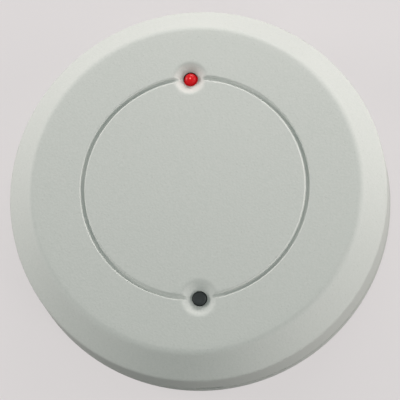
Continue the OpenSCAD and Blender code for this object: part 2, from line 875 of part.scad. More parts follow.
// A slider rests at the end of its slot nearest the rim
module slider(side) {
    translate([dip_at[0] + side * slider_x - slider_w / 2,
            dip_at[1] - slider_travel / 2 - slider_len / 2,
            board_top_z + dip_size[2] - slider_slot_depth + slider_gap])
        cube([slider_w, slider_len, slider_slot_depth - slider_gap + slider_proud]);
}

module switch_slider_1() {
    color([0.93, 0.93, 0.9]) slider(-1);
}

module switch_slider_2() {
    color([0.93, 0.93, 0.9]) slider(1);
}

module jumper_base() {
    hole_w = jumper_pin_w + 0.02;
    color([0.12, 0.12, 0.13])
    translate([jumper_at[0], jumper_at[1], board_top_z])
        difference() {
            translate([-jumper_pitch / 2, -jumper_pitch, 0])
                cube([jumper_pitch, 2 * jumper_pitch, jumper_base_h - 0.1]);
            for (i = [-0.5, 0.5])
                translate([-hole_w / 2, i * jumper_pitch - hole_w / 2, -1])
                    cube([hole_w, hole_w, jumper_base_h + 2]);
        }
}

module jumper_pins() {
    color([0.82, 0.68, 0.3])
    for (i = [-0.5, 0.5])
        translate([jumper_at[0] - jumper_pin_w / 2, jumper_at[1] + i * jumper_pitch - jumper_pin_w / 2,
                board_top_z])
            cube([jumper_pin_w, jumper_pin_w, jumper_pin_top]);
}

module jumper_shunt() {
    hole_w = jumper_pin_w + 0.1;
    color([0.12, 0.13, 0.16])
    translate([jumper_at[0], jumper_at[1], board_top_z + jumper_base_h])
        difference() {
            translate([-shunt_size[0] / 2, -shunt_size[1] / 2, 0]) cube(shunt_size);
            for (i = [-0.5, 0.5])
                translate([-hole_w / 2, i * jumper_pitch - hole_w / 2, -1])
                    cube([hole_w, hole_w, shunt_size[2] + 2]);
        }
}

module tamper_switch() {
    well_r = tamper_stem_r + tamper_bore_clear;
    color([0.16, 0.16, 0.17])
    translate([tamper_at[0], tamper_at[1], board_top_z])
        difference() {
            translate([-tamper_size / 2, -tamper_size / 2, 0])
                cube([tamper_size, tamper_size, tamper_h]);
            translate([0, 0, tamper_h - tamper_well]) cylinder(r = well_r, h = tamper_well + 1);
        }
}

// The plunger is shown pressed down, as the closed cover holds it
module tamper_plunger() {
    foot_z = board_top_z + tamper_h - tamper_well + tamper_well_spare;
    cap_z = tamper_top_z - tamper_cap_t;
    color([0.9, 0.9, 0.87])
    translate([tamper_at[0], tamper_at[1], 0])
        union() {
            translate([0, 0, foot_z]) cylinder(r = tamper_stem_r, h = cap_z - foot_z);
            translate([0, 0, cap_z]) cylinder(r = tamper_cap_r, h = tamper_cap_t);
        }
}

// Rings of points along a helix, joined into one closed tube
module tamper_spring() {
    low_z = board_top_z + tamper_h + spring_wire / 2;
    high_z = tamper_top_z - tamper_cap_t - spring_wire / 2;
    count = spring_turns * spring_steps;
    points = [for (i = [0 : count]) for (k = [0 : spring_sides - 1])
        let (turn = 360 * i / spring_steps, side = 360 * k / spring_sides,
            r = spring_r + spring_wire / 2 * cos(side), z = low_z + (high_z - low_z) * i / count)
        [r * cos(turn), r * sin(turn), z + spring_wire / 2 * sin(side)]];
    walls = [for (i = [0 : count - 1]) for (k = [0 : spring_sides - 1])
        let (n = (k + 1) % spring_sides, a = i * spring_sides, b = a + spring_sides)
        [a + k, b + k, b + n, a + n]];
    ends = [[for (k = [0 : spring_sides - 1]) k],
        [for (k = [spring_sides - 1 : -1 : 0]) count * spring_sides + k]];
    color([0.75, 0.75, 0.76])
    translate([tamper_at[0], tamper_at[1], 0])
        polyhedron(points = points, faces = concat(walls, ends));
}

mounting_base();
rear_label();
front_cover();
release_latch();
circuit_board();
board_screws();
solder_joints();
terminal_housing();
terminal_screws();
terminal_clamps();
status_lamp();
lamp_leads();
lamp_spacer();
sensing_head();
sensing_leads();
sensing_sleeve();
reference_bead();
reference_leads();
controller_chip();
controller_pins();
alarm_relay();
relay_pins();
bridge_rectifier();
rectifier_legs();
capacitor_cans();
capacitor_sleeves();
surge_varistor();
varistor_legs();
resistor_bodies();
resistor_leads();
diode_bodies();
diode_leads();
transistors();
transistor_legs();
film_capacitor();
ceramic_capacitors();
ceramic_legs();
switch_housing();
switch_slider_1();
switch_slider_2();
jumper_base();
jumper_pins();
jumper_shunt();
tamper_switch();
tamper_plunger();
tamper_spring();
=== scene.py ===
import json
import math
import re

import bmesh
import bpy
import numpy as np
from mathutils import Matrix, Vector


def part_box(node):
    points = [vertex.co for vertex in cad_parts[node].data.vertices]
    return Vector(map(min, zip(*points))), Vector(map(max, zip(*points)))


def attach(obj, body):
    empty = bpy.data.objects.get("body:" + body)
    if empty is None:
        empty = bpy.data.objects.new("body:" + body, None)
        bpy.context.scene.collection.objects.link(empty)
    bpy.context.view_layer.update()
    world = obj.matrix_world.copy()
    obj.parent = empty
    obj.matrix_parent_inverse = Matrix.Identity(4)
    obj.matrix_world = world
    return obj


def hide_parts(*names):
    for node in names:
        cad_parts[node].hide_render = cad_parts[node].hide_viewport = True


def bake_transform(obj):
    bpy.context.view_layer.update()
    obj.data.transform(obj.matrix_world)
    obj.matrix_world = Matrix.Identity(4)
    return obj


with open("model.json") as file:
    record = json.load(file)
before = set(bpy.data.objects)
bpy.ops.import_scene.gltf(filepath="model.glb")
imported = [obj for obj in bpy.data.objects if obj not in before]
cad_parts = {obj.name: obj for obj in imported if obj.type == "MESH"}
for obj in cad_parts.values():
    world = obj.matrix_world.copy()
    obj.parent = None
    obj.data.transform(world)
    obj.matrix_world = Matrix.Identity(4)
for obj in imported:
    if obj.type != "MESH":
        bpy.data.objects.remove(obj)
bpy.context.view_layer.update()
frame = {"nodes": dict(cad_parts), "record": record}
mm = 0.001
print("frame loaded:", len(frame["nodes"]), "nodes")


# where a CAD node stands, in mm: its middle and half size seen from above, its lowest and highest point
def placed(node):
    low, high = (np.array(corner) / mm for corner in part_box(node))
    middle, half = np.round((low + high) / 2, 2), np.round((high - low) / 2, 2)
    foot, top = np.round(low[2], 2), np.round(high[2], 2)
    return dict(at=(middle[0], middle[1]), half=(half[0], half[1]), foot=foot, top=top)


# camera, light and floor
camera = dict(
    distance=900,          # mm from the lens to the middle of the back
    lens=345, sensor=36,
    tilt=14.4,             # degrees between the line of sight and the detector's axis
    towards=246,           # where the face leans in the picture, degrees clockwise from the right
    turn=3.0,              # degrees anticlockwise of the lamp from straight up
    offset=(0.73, -1.48),  # mm, where the middle of the back shows, from the picture's centre
)


def makeCamera(c):
    lean = math.radians(c["towards"])
    tilt = math.radians(c["tilt"])
    axis = Vector((math.sin(tilt) * math.cos(lean), -math.sin(tilt) * math.sin(lean), math.cos(tilt)))
    toCamera = Vector((0, 0, 1)).rotation_difference(axis).to_matrix()
    toCamera = toCamera @ Matrix.Rotation(math.radians(c["turn"]), 3, "Z")
    middle = Vector((c["offset"][0], c["offset"][1], -c["distance"])) * mm
    data = bpy.data.cameras.new("camera")
    data.lens, data.sensor_width = c["lens"], c["sensor"]
    data.clip_start, data.clip_end = 0.01, 20
    shot = bpy.data.objects.new("camera", data)
    bpy.context.scene.collection.objects.link(shot)
    toWorld = toCamera.transposed()
    shot.matrix_world = Matrix.Translation(-(toWorld @ middle)) @ toWorld.to_4x4()
    bpy.context.scene.camera = shot


makeCamera(camera)
bpy.context.scene.view_settings.view_transform = "Standard"

studio = dict(
    sky=0.498, skyColor=(0.942, 1.0, 0.982),
    skyLow=0.3,                 # share of the sky's light left low down on the side away from the key
    skyBand=(-0.95, -0.5),      # where along Y that darker patch ends and the full sky begins
    skyRise=0.5,                # how much a direction's height counts against it
    warm=(1.0, 0.922, 0.925),
    boxes=[                     # azimuth from +X, elevation, distance mm, width mm, height mm, watts
        (73, 12, 1500, 1300, 340, 20.6),
        (5, 16, 1500, 640, 300, 9.0),
        (-42, 17, 1500, 500, 300, 7.4),
        (162, 15, 1500, 640, 300, 15.4),
    ],
)


# a soft box turned to the detector
def softBox(name, color, azimuth, elevation, distance, width, height, watts):
    a, e = math.radians(azimuth), math.radians(elevation)
    away = Vector((math.cos(a) * math.cos(e), math.sin(a) * math.cos(e), math.sin(e)))
    data = bpy.data.lights.new(name, "AREA")
    data.shape, data.size, data.size_y, data.energy = "RECTANGLE", width * mm, height * mm, watts
    data.color = color
    lamp = bpy.data.objects.new(name, data)
    bpy.context.scene.collection.objects.link(lamp)
    lamp.location = away * distance * mm
    lamp.rotation_mode = "QUATERNION"
    lamp.rotation_quaternion = away.to_track_quat("Z", "Y")


# a sky that is darker low down on one side: its strength follows y + skyRise * z
def makeStudio(s):
    world = bpy.data.worlds.new("studio")
    world.use_nodes = True
    tree = world.node_tree
    light = tree.nodes["Background"]
    light.inputs["Color"].default_value = (*s["skyColor"], 1)
    where = tree.nodes.new("ShaderNodeTexCoord")
    split = tree.nodes.new("ShaderNodeSeparateXYZ")
    tilted = tree.nodes.new("ShaderNodeMath")
    tilted.operation = "MULTIPLY_ADD"
    fade = tree.nodes.new("ShaderNodeMapRange")
    fade.interpolation_type = "SMOOTHSTEP"
    for i, value in enumerate((*s["skyBand"], s["sky"] * s["skyLow"], s["sky"]), 1):
        fade.inputs[i].default_value = value
    tree.links.new(where.outputs["Generated"], split.inputs[0])
    tree.links.new(split.outputs[2], tilted.inputs[0])
    tilted.inputs[1].default_value = s["skyRise"]
    tree.links.new(split.outputs[1], tilted.inputs[2])
    tree.links.new(tilted.outputs[0], fade.inputs[0])
    tree.links.new(fade.outputs[0], light.inputs["Strength"])
    bpy.context.scene.world = world
    for i, box in enumerate(s["boxes"]):
        softBox(f"softBox{i}", s["warm"], *box)


makeStudio(studio)
print("camera and light set")


# a node socket that can be used in sums
class Val:
    def __init__(self, mat, socket):
        self.mat, self.socket = mat, socket

    def run(self, operation, *args):
        return self.mat.run(operation, *args)

    def __add__(self, other): return self.run("ADD", self, other)
    def __radd__(self, other): return self.run("ADD", other, self)
    def __sub__(self, other): return self.run("SUBTRACT", self, other)
    def __rsub__(self, other): return self.run("SUBTRACT", other, self)
    def __mul__(self, other): return self.run("MULTIPLY", self, other)
    def __rmul__(self, other): return self.run("MULTIPLY", other, self)
    def __truediv__(self, other): return self.run("DIVIDE", self, other)
    def __rtruediv__(self, other): return self.run("DIVIDE", other, self)
    def __pow__(self, other): return self.run("POWER", self, other)
    def __lt__(self, other): return self.run("LESS_THAN", self, other)
    def __gt__(self, other): return self.run("GREATER_THAN", self, other)
    def __abs__(self): return self.run("ABSOLUTE", self)


# a material on the Principled shader, with one method that makes any other node
class Mat:
    def __init__(self, name, **fixed):
        self.material = bpy.data.materials.new(name)
        self.material.use_nodes = True
        self.tree = self.material.node_tree
        self.shader = self.tree.nodes["Principled BSDF"]
        self.set(**fixed)

    # camelCase keys stand for the shader's spaced socket names
    def set(self, **sockets):
        for key, value in sockets.items():
            self.feed(self.shader.inputs[re.sub("(?<=[a-z])(?=[A-Z])|(?<=R)(?=L)", " ", key)], value)
        return self

    def feed(self, socket, value):
        if isinstance(value, Val):
            self.tree.links.new(value.socket, socket)
        elif isinstance(value, (tuple, list)) and len(value) == 3 and socket.type == "RGBA":
            socket.default_value = (*value, 1)
        else:
            socket.default_value = value

    def node(self, kind, settings=None, *inputs, out=0, **named):
        made = self.tree.nodes.new(kind)
        for key, value in (settings or {}).items():
            setattr(made, key, value)
        for i, value in enumerate(inputs):
            if value is not None:
                self.feed(made.inputs[i], value)
        for key, value in named.items():
            self.feed(made.inputs[key], value)
        return Val(self, made.outputs[out])

    def run(self, operation, *args):
        return self.node("ShaderNodeMath", {"operation": operation}, *args)

    def place(self, stretch=(1, 1, 1)):
        where = self.node("ShaderNodeTexCoord", {}, out="Object")
        if stretch == (1, 1, 1):
            return where
        return self.node("ShaderNodeMapping", {}, Vector=where, Scale=stretch)

    def axes(self):
        outputs = self.node("ShaderNodeSeparateXYZ", {}, self.place()).socket.node.outputs
        return [Val(self, outputs[i]) for i in range(3)]

    def noise(self, scale, detail=3, rough=0.5, where=None):
        return self.node("ShaderNodeTexNoise", {}, Vector=where or self.place(), Scale=scale,
                         Detail=detail, Roughness=rough)

    def cells(self, scale):
        return self.node("ShaderNodeTexVoronoi", {}, Vector=self.place(), Scale=scale, out="Distance")

    def read(self, attribute):
        return self.node("ShaderNodeAttribute", {"attribute_name": attribute}, out="Fac")

    def span(self, value, low, high, to0=0.0, to1=1.0):
        return self.node("ShaderNodeMapRange", {"interpolation_type": "SMOOTHSTEP"},
                         value, low, high, to0, to1)

    # colour a where the mask is 0, b where it is 1
    def blend(self, mask, a, b):
        made = self.node("ShaderNodeMix", {"data_type": "RGBA"}, mask).socket.node
        self.feed(made.inputs[6], a)
        self.feed(made.inputs[7], b)
        return Val(self, made.outputs[2])

    def bump(self, height, distance, strength):
        return self.node("ShaderNodeBump", {}, Strength=strength, Distance=distance, Height=height)


# a colour k times as bright
def tint(color, k):
    return tuple(min(1.0, v * k) for v in color)


# one face for each cell of a two-way table of vertex numbers
def quadsOf(index):
    return np.stack([index[:-1, :-1], index[1:, :-1], index[1:, 1:], index[:-1, 1:]], -1).reshape(-1, 4)


# points in mm and lists of faces become one object with its normals outwards
def makePiece(name, points, faces, material, body, nodes=(), crease=35, extra=None):
    used = np.unique(np.concatenate([f.ravel() for f in faces]))
    renumber = np.zeros(len(points), int)
    renumber[used] = np.arange(len(used))
    mesh = bpy.data.meshes.new(name)
    mesh.from_pydata((points[used] * mm).tolist(), [], [q for f in faces for q in renumber[f].tolist()])
    for key, values in (extra or {}).items():
        data = np.ravel(values)[used].astype(np.float32)
        mesh.attributes.new(key, "FLOAT", "POINT").data.foreach_set("value", data)
    work = bmesh.new()
    work.from_mesh(mesh)
    bmesh.ops.remove_doubles(work, verts=work.verts, dist=1e-7)
    bmesh.ops.recalc_face_normals(work, faces=work.faces)
    work.to_mesh(mesh)
    work.free()
    mesh.shade_smooth()
    mesh.set_sharp_from_angle(angle=math.radians(crease))
    mesh.materials.append(material.material)
    piece = bpy.data.objects.new(name, mesh)
    bpy.context.scene.collection.objects.link(piece)
    if body:
        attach(piece, body)
    if nodes:
        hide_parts(*nodes)
    return piece


# 0 below low, 1 above high, and 3t^2 - 2t^3 between them
def smoothStep(x, low, high):
    t = np.clip((x - low) / (high - low), 0, 1)
    return t * t * (3 - 2 * t)


# a polyline whose inner corners are turned into arcs tangent to both sides
def filleted(corners, radii, steps=6):
    corners = np.array(corners, float)
    out = [corners[:1]]
    for i, r in zip(range(1, len(corners) - 1), radii):
        before, here, after = corners[i - 1], corners[i], corners[i + 1]
        u, w = before - here, after - here
        u, w = u / np.hypot(*u), w / np.hypot(*w)
        half = math.acos(np.clip(u @ w, -1, 1)) / 2
        if r <= 0 or half < 1e-3 or abs(half - math.pi / 2) < 1e-3:
            out.append(here[None])
            continue
        middle = here + (u + w) / np.hypot(*(u + w)) * r / math.sin(half)
        start, end = here + u * r / math.tan(half) - middle, here + w * r / math.tan(half) - middle
        a0 = math.atan2(start[1], start[0])
        sweep = (math.atan2(end[1], end[0]) - a0 + math.pi) % (2 * math.pi) - math.pi
        a = a0 + sweep * np.linspace(0, 1, steps + 1)
        out.append(middle + r * np.stack([np.cos(a), np.sin(a)], 1))
    out.append(corners[-1:])
    return np.concatenate(out)


# outline points (radius, height) turned round a line through each place, as one closed skin each
def turned(outline, places, sides=48, along="Z"):
    outline, places = np.asarray(outline, float), np.asarray(places, float).reshape(-1, 3)
    a = np.linspace(0, 2 * math.pi, sides, endpoint=False)
    r, h = outline[:, 0, None], outline[:, 1, None]
    across, up, out = r * np.cos(a), r * np.sin(a), h + 0 * a
    skin = np.stack({"X": [out, across, up], "Y": [up, out, across], "Z": [across, up, out]}[along], -1)
    points = (places[:, None, None, :] + skin[None]).reshape(-1, 3)
    count, rows = len(places), len(outline)
    index = np.arange(rows * sides).reshape(rows, sides)
    quads = quadsOf(np.concatenate([index, index[:, :1]], 1))
    step = (np.arange(count) * rows * sides)[:, None, None]
    faces = (quads[None] + step).reshape(-1, 4)
    caps = np.concatenate([(index[:1][None] + step).reshape(-1, sides),
                           (index[-1:, ::-1][None] + step).reshape(-1, sides)])
    extra = {"along": np.broadcast_to((h + 0 * a)[None], (count, rows, sides)),
             "which": np.broadcast_to(np.arange(count)[:, None, None], (count, rows, sides))}
    return points, [faces, caps], extra


# the separate lumps of a CAD node, as their middles and sizes in mm
def lumpsOf(node):
    mesh = frame["nodes"][node].data
    where = np.zeros(len(mesh.vertices) * 3)
    mesh.vertices.foreach_get("co", where)
    where, same = np.unique(np.round(where.reshape(-1, 3) / mm, 3), axis=0, return_inverse=True)
    ends = np.zeros(len(mesh.edges) * 2, int)
    mesh.edges.foreach_get("vertices", ends)
    ends = same.ravel()[ends.reshape(-1, 2)]
    label = np.arange(len(where))
    while True:
        low = label.copy()
        np.minimum.at(low, ends[:, 0], label[ends[:, 1]])
        np.minimum.at(low, ends[:, 1], label[ends[:, 0]])
        low = low[low]
        if (low == label).all():
            break
        label = low
    names, group = np.unique(label, return_inverse=True)
    least, most = np.full((len(names), 3), 1e9), np.full((len(names), 3), -1e9)
    np.minimum.at(least, group.ravel(), where)
    np.maximum.at(most, group.ravel(), where)
    return (least + most) / 2, most - least


# a merged copy of a CAD node whose flats are whole and whose edges are rounded
def softened(node, width, material, body, segments=3, angle=32):
    source = frame["nodes"][node]
    mesh = source.data.copy()
    mesh.name = node + "Soft"
    work = bmesh.new()
    work.from_mesh(mesh)
    bmesh.ops.remove_doubles(work, verts=work.verts, dist=2e-6)
    bmesh.ops.dissolve_limit(work, angle_limit=math.radians(1.2), verts=work.verts, edges=work.edges)
    bmesh.ops.recalc_face_normals(work, faces=work.faces)
    work.to_mesh(mesh)
    work.free()
    mesh.materials.clear()
    mesh.materials.append(material.material)
    mesh.shade_smooth()
    mesh.set_sharp_from_angle(angle=math.radians(angle))
    piece = bpy.data.objects.new(node + "Soft", mesh)
    bpy.context.scene.collection.objects.link(piece)
    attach(piece, body)
    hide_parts(node)
    edge = piece.modifiers.new("roundEdge", "BEVEL")
    edge.width, edge.segments, edge.limit_method = width * mm, segments, "ANGLE"
    edge.angle_limit, edge.use_clamp_overlap, edge.harden_normals = math.radians(angle), True, True
    return piece


# the cover
shell = placed("front_cover")
cover = dict(
    radius=shell["half"][0], rim=shell["foot"], depth=shell["top"], skirtTop=12.2, wall=1.8,
    faceR=38.5, faceEdge=18.3, edgeRound=2.6, skirtRound=1.6, rimRound=0.3,
    grooveR=26, grooveW=1.15, grooveDepth=0.6,
    lamp=dict(angle=90, dish=3.75, hole=1.7, flare=0.42, floor=1.35, cells=6),
    port=dict(angle=270, dish=4.05, hole=1.75, flare=0.35, floor=1.25, cells=6),
    dishCurve=0.3, dishSoft=0.2, bossR=4.9, bossZ=16.6,
    dishReach=(4.9, 6.6),                     # the grid round a dish turns back to rings over this stretch
    notchW=6, notchH=1.1, notchEase=0.25, notchTop=6,
    pocketW=9, pocketR=43.25, pocketTop=6.6,
    zone=15, zoneCells=24, plainCells=72,     # columns: fine ones either side of each dish
    longest=1.1,                              # the longest cell down the side
    catchZ=(5.6, 6.8), catchR=41.1, catchW=9,
    hinge=(43.5, 2.9), barR=1,
    post=placed("tamper_plunger")["at"], postR=2, postZ=15.05,
    ribs=(30, 150, 210, 330), ribT=1, ribDrop=2.5, ribSink=0.3, ribEase=0.94,
)


# the face is a ball's cap: its height falls from the top by ball - root(ball^2 - r^2)
def domeHeight(c, r):
    rise = c["depth"] - c["faceEdge"]
    ball = (c["faceR"] ** 2 + rise ** 2) / (2 * rise)
    return c["depth"] - ball + np.sqrt(ball ** 2 - r ** 2)


# squares round a hole's middle become circles: the larger coordinate turns into the radius, fading out
def squareToRound(along, across, hole, cells, pitch, near, far):
    square = np.maximum(np.abs(along), np.abs(across))
    plain = np.maximum(np.hypot(along, across), 1e-9)
    fade = 1 - smoothStep(square, near, far)
    side = cells * pitch
    grow = 1 + (hole / side - 1) * (1 - smoothStep(square, side, near))
    scale = 1 + fade * (square / plain * grow - 1)
    return along * scale, across * scale, fade


# columns at even steps of angle, rows at the given radii, both drawn in round each dish
def coverPlan(c, radii, flare):
    fine, plain, zone = c["zoneCells"], c["plainCells"], c["zone"]
    angle = np.concatenate([np.linspace(a, b, n, endpoint=False) for a, b, n in (
        (90 - zone, 90 + zone, 2 * fine), (90 + zone, 270 - zone, plain),
        (270 - zone, 270 + zone, 2 * fine), (270 + zone, 450 - zone, plain))])
    pitch = c["grooveR"] * math.radians(zone / fine)
    r, a = np.meshgrid(radii, np.radians(angle), indexing="ij")
    x, y = r * np.cos(a), r * np.sin(a)
    for dish in (c["lamp"], c["port"]):
        turn = math.radians(dish["angle"])
        off = (a - turn + np.pi) % (2 * np.pi) - np.pi
        hole = dish["hole"] + flare * dish["flare"]
        along, across, fade = squareToRound(
            c["grooveR"] * off, r - c["grooveR"], hole, dish["cells"], pitch, *c["dishReach"])
        flatX = (c["grooveR"] + across) * math.cos(turn) - along * math.sin(turn)
        flatY = (c["grooveR"] + across) * math.sin(turn) + along * math.cos(turn)
        x, y = x + (flatX - x) * fade, y + (flatY - y) * fade
    return x, y, angle


# a bowl between a cone and a cosine, from its floor at the hole to its rim, whose edge is softened
def dishDepth(c, dish, x, y):
    turn = math.radians(dish["angle"])
    away = np.hypot(x - c["grooveR"] * math.cos(turn), y - c["grooveR"] * math.sin(turn))
    run = dish["dish"] - dish["hole"]
    t = np.clip((away - dish["hole"]) / run, 0, 1)
    curve = c["dishCurve"]
    slope = dish["floor"] * (curve * math.pi / 2 + 1 - curve) / run
    bare = dish["floor"] * (curve * np.cos(t * math.pi / 2) + (1 - curve) * (1 - t))
    bare = bare - slope * np.maximum(away - dish["dish"], 0)
    soft = c["dishSoft"]
    return (bare + np.sqrt(bare ** 2 + soft ** 2)) / 2 - soft ** 2 / (4 * np.maximum(-bare, 2 * soft))


# the dome, less whichever is deepest there: the ring groove or a dish
def faceOuter(c, x, y):
    r = np.hypot(x, y)
    half = c["grooveW"] / 2
    groove = c["grooveDepth"] * (1 - smoothStep(np.abs(r - c["grooveR"]), half * 0.35, half * 1.25))
    deepest = np.maximum(groove, np.maximum(dishDepth(c, c["lamp"], x, y), dishDepth(c, c["port"], x, y)))
    return domeHeight(c, r) - np.maximum(deepest, 0)


# the dome a wall lower, with a flat boss under the sensing head's dish
def faceInner(c, x, y):
    plain = domeHeight(c, np.hypot(x, y)) - c["wall"]
    turn = math.radians(c["port"]["angle"])
    away = np.hypot(x - c["grooveR"] * math.cos(turn), y - c["grooveR"] * math.sin(turn))
    return plain + (c["bossZ"] - plain) * (1 - smoothStep(away, c["bossR"] - 0.3, c["bossR"] + 0.1))


# the line of the shoulder, moved in by the wall
def shoulderInside(c, r):
    slope = np.array([c["faceR"] - c["radius"], c["faceEdge"] - c["skirtTop"]])
    slope /= np.hypot(*slope)
    start = np.array([c["radius"], c["skirtTop"]]) + c["wall"] * np.array([-slope[1], slope[0]])
    return np.array([r, start[1] + (r - start[0]) * slope[1] / slope[0]])


# one closed grid: its rows run out over the face, down the side, round the rim and back along the inside
def makeCover(c, material):
    pitch = c["grooveR"] * math.radians(c["zone"] / c["zoneCells"])
    fine = np.concatenate([np.arange(0, 0.85, 0.1), [1.1, 1.4], np.arange(6, c["zoneCells"] + 1) * pitch])
    offsets = np.concatenate([-fine[:0:-1], fine])
    radii = np.concatenate([np.linspace(1.5, 18, 9), c["grooveR"] + offsets, np.linspace(33.6, 36.2, 4)])
    x, y, angle = coverPlan(c, radii, 0)
    innerX, innerY, angle = coverPlan(c, radii, 1)
    columns = len(angle)

    # the rest of the outline, from the face's edge down, round the rim and up inside
    innerR, last, rimZ = c["radius"] - c["wall"], radii[-1], c["rim"]
    outline = filleted([
        (last, domeHeight(c, last)), (c["faceR"], c["faceEdge"]), (c["radius"], c["skirtTop"]),
        (c["radius"], rimZ), (innerR, rimZ), shoulderInside(c, innerR), shoulderInside(c, c["faceR"] - 0.9),
        (last, domeHeight(c, last) - c["wall"])],
        [c["edgeRound"], c["skirtRound"], c["rimRound"], c["rimRound"], 0.6, 0.8], 7)[1:-1]
    # extra rows along the straight stretches keep the cells short
    legs = np.hypot(*np.diff(outline, axis=0).T)
    count = np.maximum(1, np.ceil(legs / c["longest"])).astype(int)
    dense = [outline[i] + np.linspace(0, 1, n, endpoint=False)[:, None] * (outline[i + 1] - outline[i])
             for i, n in enumerate(count)]
    dense = np.concatenate([*dense, outline[-1:]])
    a = np.radians(angle)
    sideR, sideZ = dense[:, :1] + 0 * a, dense[:, 1:] + 0 * a
    # the notch lifts the rim: rows below the shoulder are squeezed upwards
    fromNotch = np.abs((a - math.radians(270) + np.pi) % (2 * np.pi) - np.pi) * c["radius"]
    half, ease = c["notchW"] / 2, c["notchEase"]
    lift = c["notchH"] * (1 - smoothStep(fromNotch, half - ease, half + ease))
    low = np.clip((c["notchTop"] - sideZ) / (c["notchTop"] - rimZ), 0, 1)
    # the hook's pocket pushes the inside of the skirt outwards
    fromHinge = np.abs((a - math.radians(90) + np.pi) % (2 * np.pi) - np.pi) * c["radius"]
    half = c["pocketW"] / 2
    inPocket = (1 - smoothStep(fromHinge, half - 0.1, half + 0.3)) * (sideZ < c["pocketTop"])
    sideR = np.where(sideR < c["pocketR"], sideR + (c["pocketR"] - sideR) * inPocket, sideR)
    sideZ = sideZ + low * lift

    rows = len(radii)
    outer = np.stack([x, y, faceOuter(c, x, y)], -1)
    inner = np.stack([innerX, innerY, faceInner(c, innerX, innerY)], -1)[::-1]
    table = np.concatenate([outer, np.stack([sideR * np.cos(a), sideR * np.sin(a), sideZ], -1), inner])
    total = len(table)
    points = np.concatenate([table.reshape(-1, 3), [[0, 0, c["depth"]], [0, 0, c["depth"] - c["wall"]]]])
    index = np.arange(total * columns).reshape(total, columns)
    wrapped = np.concatenate([index, index[:, :1]], 1)
    keep = np.ones((total - 1, columns), bool)
    walls = []
    middleRow = int(np.argmin(np.abs(radii - c["grooveR"])))
    for dish in (c["lamp"], c["port"]):
        col = int(np.argmin(np.abs((angle - dish["angle"] + 180) % 360 - 180)))
        reach = dish["cells"]
        edge = int(np.argmin(np.abs(radii - c["grooveR"] - reach * pitch))) - middleRow
        up, side = np.arange(middleRow - edge, middleRow + edge), np.arange(col - reach, col + reach)
        keep[np.ix_(up, side % columns)] = False
        keep[np.ix_(total - 2 - up, side % columns)] = False
        outside, inside = np.full(2 * reach, middleRow + edge), np.full(2 * reach, middleRow - edge)
        left, right = np.full(2 * edge, col - reach), np.full(2 * edge, col + reach)
        loopRows = np.concatenate([up, outside, up[::-1] + 1, inside])
        loopCols = np.concatenate([left, side, right, side[::-1] + 1]) % columns
        ring = np.stack([index[loopRows, loopCols], index[total - 1 - loopRows, loopCols]])
        walls.append(quadsOf(np.concatenate([ring, ring[:, :1]], 1)))
    quads = quadsOf(wrapped)[keep.ravel()]
    nose = np.stack([np.full(columns, total * columns), wrapped[0, :-1], wrapped[0, 1:]], 1)
    tail = np.stack([np.full(columns, total * columns + 1), wrapped[-1, 1:], wrapped[-1, :-1]], 1)
    makePiece("coverShell", points, [quads, *walls, nose, tail], material, "cover",
              ["front_cover"], 40)


# a closed strip between two ends: outline points in one plane, swept through given frames
def swept(sections):
    sections = np.asarray(sections, float)
    rows, sides = sections.shape[:2]
    index = np.arange(rows * sides).reshape(rows, sides)
    quads = quadsOf(np.concatenate([index, index[:, :1]], 1))
    return sections.reshape(-1, 3), [quads, index[:1], index[-1:, ::-1]]


